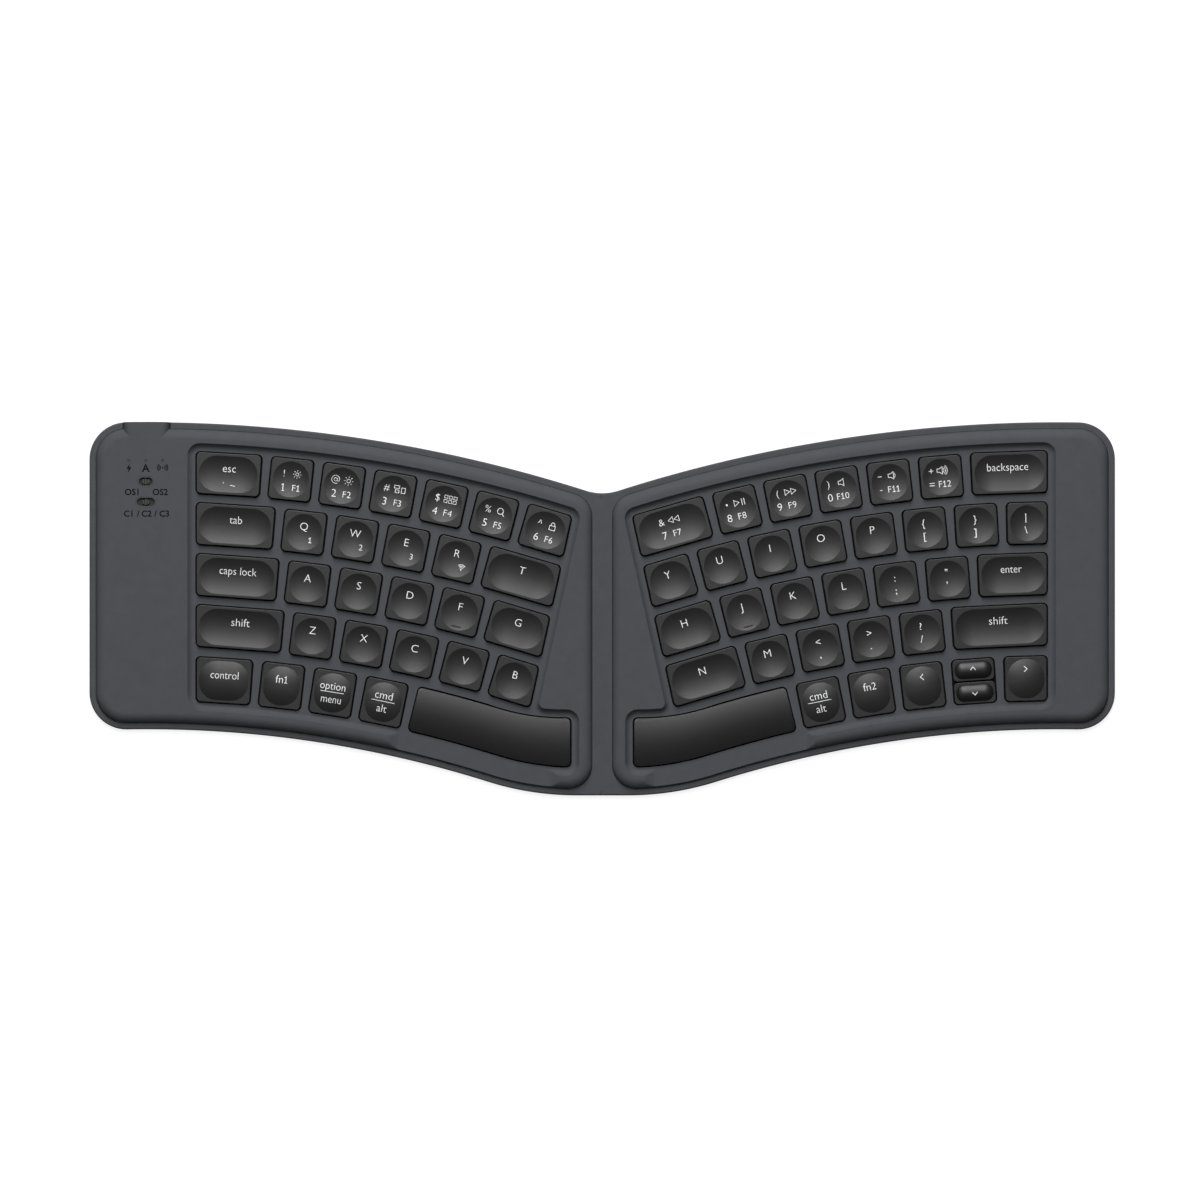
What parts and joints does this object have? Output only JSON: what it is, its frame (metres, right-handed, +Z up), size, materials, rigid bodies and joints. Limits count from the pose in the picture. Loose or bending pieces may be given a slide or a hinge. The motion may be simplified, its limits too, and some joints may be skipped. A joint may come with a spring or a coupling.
{
  "type": "foldable keyboard",
  "caption": "Slim ergonomic keyboard in two angled halves joined by a soft cover, which folds shut along two creases; sunken keys, charging port, indicator lights and slide switches.",
  "frame": {"origin": "on the table under the middle of the open keyboard, at the centre of its outline", "axes": "+X towards the right-hand half as a typist sees it, +Y away from the typist, +Z up through the keys"},
  "size_m": [0.3722, 0.1354, 0.0057],
  "materials": {
    "keycap": "soft matt",
    "soft_cover": "soft matt polyurethane, fine grain",
    "rubber_foot": "matt",
    "housing": "soft-touch, fine grain",
    "steel_plate": "rolled sheet",
    "circuit_film": "printed film",
    "dome_rubber": "translucent white silicone",
    "link_plastic": "natural white",
    "circuit_board": "solder mask",
    "switch_case": "stamped",
    "battery_pouch": "laminated foil",
    "port_metal": "stamped",
    "light_guide": "smoked, unlit",
    "slider": "matt"
  },
  "bodies": {
    "left_half": {"base_plate_left": "steel_plate", "battery": "battery_pouch", "circuit_sheet_left": "circuit_film", "cover_left": "soft_cover", "feet_left": "rubber_foot", "indicator_lights": "light_guide", "main_board": "circuit_board", "rubber_domes_left": "dome_rubber", "scissor_links_left": "link_plastic", "switch_bodies": "switch_case", "top_frame_left": "housing", "usb_c_port": "port_metal"},
    "spine": {"cover_spine": "soft_cover", "ribbon_cable": "circuit_film"},
    "right_half": {"base_plate_right": "steel_plate", "circuit_sheet_right": "circuit_film", "cover_right": "soft_cover", "feet_right": "rubber_foot", "rubber_domes_right": "dome_rubber", "scissor_links_right": "link_plastic", "top_frame_right": "housing"},
    "mode_slider": {"mode_slider": "slider"},
    "system_slider": {"system_slider": "slider"},
    "key_6": {"key_6": "keycap"},
    "key_7": {"key_7": "keycap"},
    "key_arrow_down": {"key_arrow_down": "keycap"},
    "key_arrow_left": {"key_arrow_left": "keycap"},
    "key_arrow_right": {"key_arrow_right": "keycap"},
    "key_arrow_up": {"key_arrow_up": "keycap"},
    "key_b": {"key_b": "keycap"},
    "key_backslash": {"key_backslash": "keycap"},
    "key_backspace": {"key_backspace": "keycap"},
    "key_caps_lock": {"key_caps_lock": "keycap"},
    "key_command_left": {"key_command_left": "keycap"},
    "key_command_right": {"key_command_right": "keycap"},
    "key_control": {"key_control": "keycap"},
    "key_enter": {"key_enter": "keycap"},
    "key_escape": {"key_escape": "keycap"},
    "key_function_left": {"key_function_left": "keycap"},
    "key_function_right": {"key_function_right": "keycap"},
    "key_g": {"key_g": "keycap"},
    "key_h": {"key_h": "keycap"},
    "key_left_shift": {"key_left_shift": "keycap"},
    "key_n": {"key_n": "keycap"},
    "key_option": {"key_option": "keycap"},
    "key_right_shift": {"key_right_shift": "keycap"},
    "key_t": {"key_t": "keycap"},
    "key_tab": {"key_tab": "keycap"},
    "key_y": {"key_y": "keycap"},
    "keys_left_home_row": {"keys_left_home_row": "keycap"},
    "keys_left_lower_row": {"keys_left_lower_row": "keycap"},
    "keys_left_number_row": {"keys_left_number_row": "keycap"},
    "keys_left_upper_row": {"keys_left_upper_row": "keycap"},
    "keys_right_home_row": {"keys_right_home_row": "keycap"},
    "keys_right_lower_row": {"keys_right_lower_row": "keycap"},
    "keys_right_number_row": {"keys_right_number_row": "keycap"},
    "keys_right_upper_row": {"keys_right_upper_row": "keycap"},
    "space_bar_left": {"space_bar_left": "keycap"},
    "space_bar_right": {"space_bar_right": "keycap"}
  },
  "joints": [
    {"name": "left_crease", "type": "hinge", "parent": "spine", "child": "left_half", "pos_m": [-0.00335, 0, 0.0025], "axis": [0, 1, 0], "range_deg": [0, 90]},
    {"name": "right_crease", "type": "hinge", "parent": "spine", "child": "right_half", "pos_m": [0.00335, 0, 0.0025], "axis": [0, -1, 0], "range_deg": [0, 90]},
    {"name": "mode_slider_slide", "type": "slide", "parent": "left_half", "child": "mode_slider", "axis": [1, 0, 0], "range_m": [-0.0008, 0.0008]},
    {"name": "system_slider_slide", "type": "slide", "parent": "left_half", "child": "system_slider", "axis": [1, 0, 0], "range_m": [-0.0016, 0.0016]},
    {"name": "key_6_press", "type": "slide", "parent": "left_half", "child": "key_6", "axis": [0, 0, -1], "range_m": [0, 0.001], "stiffness_N_per_m": 500, "deforming": ["rubber_domes_left", "scissor_links_left"]},
    {"name": "key_7_press", "type": "slide", "parent": "right_half", "child": "key_7", "axis": [0, 0, -1], "range_m": [0, 0.001], "stiffness_N_per_m": 500, "deforming": ["rubber_domes_right", "scissor_links_right"]},
    {"name": "key_arrow_down_press", "type": "slide", "parent": "right_half", "child": "key_arrow_down", "axis": [0, 0, -1], "range_m": [0, 0.001], "stiffness_N_per_m": 500, "deforming": ["rubber_domes_right", "scissor_links_right"]},
    {"name": "key_arrow_left_press", "type": "slide", "parent": "right_half", "child": "key_arrow_left", "axis": [0, 0, -1], "range_m": [0, 0.001], "stiffness_N_per_m": 500, "deforming": ["rubber_domes_right", "scissor_links_right"]},
    {"name": "key_arrow_right_press", "type": "slide", "parent": "right_half", "child": "key_arrow_right", "axis": [0, 0, -1], "range_m": [0, 0.001], "stiffness_N_per_m": 500, "deforming": ["rubber_domes_right", "scissor_links_right"]},
    {"name": "key_arrow_up_press", "type": "slide", "parent": "right_half", "child": "key_arrow_up", "axis": [0, 0, -1], "range_m": [0, 0.001], "stiffness_N_per_m": 500, "deforming": ["rubber_domes_right", "scissor_links_right"]},
    {"name": "key_b_press", "type": "slide", "parent": "left_half", "child": "key_b", "axis": [0, 0, -1], "range_m": [0, 0.001], "stiffness_N_per_m": 500, "deforming": ["rubber_domes_left", "scissor_links_left"]},
    {"name": "key_backslash_press", "type": "slide", "parent": "right_half", "child": "key_backslash", "axis": [0, 0, -1], "range_m": [0, 0.001], "stiffness_N_per_m": 500, "deforming": ["rubber_domes_right", "scissor_links_right"]},
    {"name": "key_backspace_press", "type": "slide", "parent": "right_half", "child": "key_backspace", "axis": [0, 0, -1], "range_m": [0, 0.001], "stiffness_N_per_m": 500, "deforming": ["rubber_domes_right", "scissor_links_right"]},
    {"name": "key_caps_lock_press", "type": "slide", "parent": "left_half", "child": "key_caps_lock", "axis": [0, 0, -1], "range_m": [0, 0.001], "stiffness_N_per_m": 500, "deforming": ["rubber_domes_left", "scissor_links_left"]},
    {"name": "key_command_left_press", "type": "slide", "parent": "left_half", "child": "key_command_left", "axis": [0, 0, -1], "range_m": [0, 0.001], "stiffness_N_per_m": 500, "deforming": ["rubber_domes_left", "scissor_links_left"]},
    {"name": "key_command_right_press", "type": "slide", "parent": "right_half", "child": "key_command_right", "axis": [0, 0, -1], "range_m": [0, 0.001], "stiffness_N_per_m": 500, "deforming": ["rubber_domes_right", "scissor_links_right"]},
    {"name": "key_control_press", "type": "slide", "parent": "left_half", "child": "key_control", "axis": [0, 0, -1], "range_m": [0, 0.001], "stiffness_N_per_m": 500, "deforming": ["rubber_domes_left", "scissor_links_left"]},
    {"name": "key_enter_press", "type": "slide", "parent": "right_half", "child": "key_enter", "axis": [0, 0, -1], "range_m": [0, 0.001], "stiffness_N_per_m": 500, "deforming": ["rubber_domes_right", "scissor_links_right"]},
    {"name": "key_escape_press", "type": "slide", "parent": "left_half", "child": "key_escape", "axis": [0, 0, -1], "range_m": [0, 0.001], "stiffness_N_per_m": 500, "deforming": ["rubber_domes_left", "scissor_links_left"]},
    {"name": "key_function_left_press", "type": "slide", "parent": "left_half", "child": "key_function_left", "axis": [0, 0, -1], "range_m": [0, 0.001], "stiffness_N_per_m": 500, "deforming": ["rubber_domes_left", "scissor_links_left"]},
    {"name": "key_function_right_press", "type": "slide", "parent": "right_half", "child": "key_function_right", "axis": [0, 0, -1], "range_m": [0, 0.001], "stiffness_N_per_m": 500, "deforming": ["rubber_domes_right", "scissor_links_right"]},
    {"name": "key_g_press", "type": "slide", "parent": "left_half", "child": "key_g", "axis": [0, 0, -1], "range_m": [0, 0.001], "stiffness_N_per_m": 500, "deforming": ["rubber_domes_left", "scissor_links_left"]},
    {"name": "key_h_press", "type": "slide", "parent": "right_half", "child": "key_h", "axis": [0, 0, -1], "range_m": [0, 0.001], "stiffness_N_per_m": 500, "deforming": ["rubber_domes_right", "scissor_links_right"]},
    {"name": "key_left_shift_press", "type": "slide", "parent": "left_half", "child": "key_left_shift", "axis": [0, 0, -1], "range_m": [0, 0.001], "stiffness_N_per_m": 500, "deforming": ["rubber_domes_left", "scissor_links_left"]},
    {"name": "key_n_press", "type": "slide", "parent": "right_half", "child": "key_n", "axis": [0, 0, -1], "range_m": [0, 0.001], "stiffness_N_per_m": 500, "deforming": ["rubber_domes_right", "scissor_links_right"]},
    {"name": "key_option_press", "type": "slide", "parent": "left_half", "child": "key_option", "axis": [0, 0, -1], "range_m": [0, 0.001], "stiffness_N_per_m": 500, "deforming": ["rubber_domes_left", "scissor_links_left"]},
    {"name": "key_right_shift_press", "type": "slide", "parent": "right_half", "child": "key_right_shift", "axis": [0, 0, -1], "range_m": [0, 0.001], "stiffness_N_per_m": 500, "deforming": ["rubber_domes_right", "scissor_links_right"]},
    {"name": "key_t_press", "type": "slide", "parent": "left_half", "child": "key_t", "axis": [0, 0, -1], "range_m": [0, 0.001], "stiffness_N_per_m": 500, "deforming": ["rubber_domes_left", "scissor_links_left"]},
    {"name": "key_tab_press", "type": "slide", "parent": "left_half", "child": "key_tab", "axis": [0, 0, -1], "range_m": [0, 0.001], "stiffness_N_per_m": 500, "deforming": ["rubber_domes_left", "scissor_links_left"]},
    {"name": "key_y_press", "type": "slide", "parent": "right_half", "child": "key_y", "axis": [0, 0, -1], "range_m": [0, 0.001], "stiffness_N_per_m": 500, "deforming": ["rubber_domes_right", "scissor_links_right"]},
    {"name": "keys_left_home_row_press", "type": "slide", "parent": "left_half", "child": "keys_left_home_row", "axis": [0, 0, -1], "range_m": [0, 0.001], "stiffness_N_per_m": 500, "deforming": ["rubber_domes_left", "scissor_links_left"]},
    {"name": "keys_left_lower_row_press", "type": "slide", "parent": "left_half", "child": "keys_left_lower_row", "axis": [0, 0, -1], "range_m": [0, 0.001], "stiffness_N_per_m": 500, "deforming": ["rubber_domes_left", "scissor_links_left"]},
    {"name": "keys_left_number_row_press", "type": "slide", "parent": "left_half", "child": "keys_left_number_row", "axis": [0, 0, -1], "range_m": [0, 0.001], "stiffness_N_per_m": 500, "deforming": ["rubber_domes_left", "scissor_links_left"]},
    {"name": "keys_left_upper_row_press", "type": "slide", "parent": "left_half", "child": "keys_left_upper_row", "axis": [0, 0, -1], "range_m": [0, 0.001], "stiffness_N_per_m": 500, "deforming": ["rubber_domes_left", "scissor_links_left"]},
    {"name": "keys_right_home_row_press", "type": "slide", "parent": "right_half", "child": "keys_right_home_row", "axis": [0, 0, -1], "range_m": [0, 0.001], "stiffness_N_per_m": 500, "deforming": ["rubber_domes_right", "scissor_links_right"]},
    {"name": "keys_right_lower_row_press", "type": "slide", "parent": "right_half", "child": "keys_right_lower_row", "axis": [0, 0, -1], "range_m": [0, 0.001], "stiffness_N_per_m": 500, "deforming": ["rubber_domes_right", "scissor_links_right"]},
    {"name": "keys_right_number_row_press", "type": "slide", "parent": "right_half", "child": "keys_right_number_row", "axis": [0, 0, -1], "range_m": [0, 0.001], "stiffness_N_per_m": 500, "deforming": ["rubber_domes_right", "scissor_links_right"]},
    {"name": "keys_right_upper_row_press", "type": "slide", "parent": "right_half", "child": "keys_right_upper_row", "axis": [0, 0, -1], "range_m": [0, 0.001], "stiffness_N_per_m": 500, "deforming": ["rubber_domes_right", "scissor_links_right"]},
    {"name": "space_bar_left_press", "type": "slide", "parent": "left_half", "child": "space_bar_left", "axis": [0, 0, -1], "range_m": [0, 0.001], "stiffness_N_per_m": 500, "deforming": ["rubber_domes_left", "scissor_links_left"]},
    {"name": "space_bar_right_press", "type": "slide", "parent": "right_half", "child": "space_bar_right", "axis": [0, 0, -1], "range_m": [0, 0.001], "stiffness_N_per_m": 500, "deforming": ["rubber_domes_right", "scissor_links_right"]}
  ],
  "couplings": [
    {"joint": "right_crease", "follows": "left_crease", "ratio": 1}
  ]
}
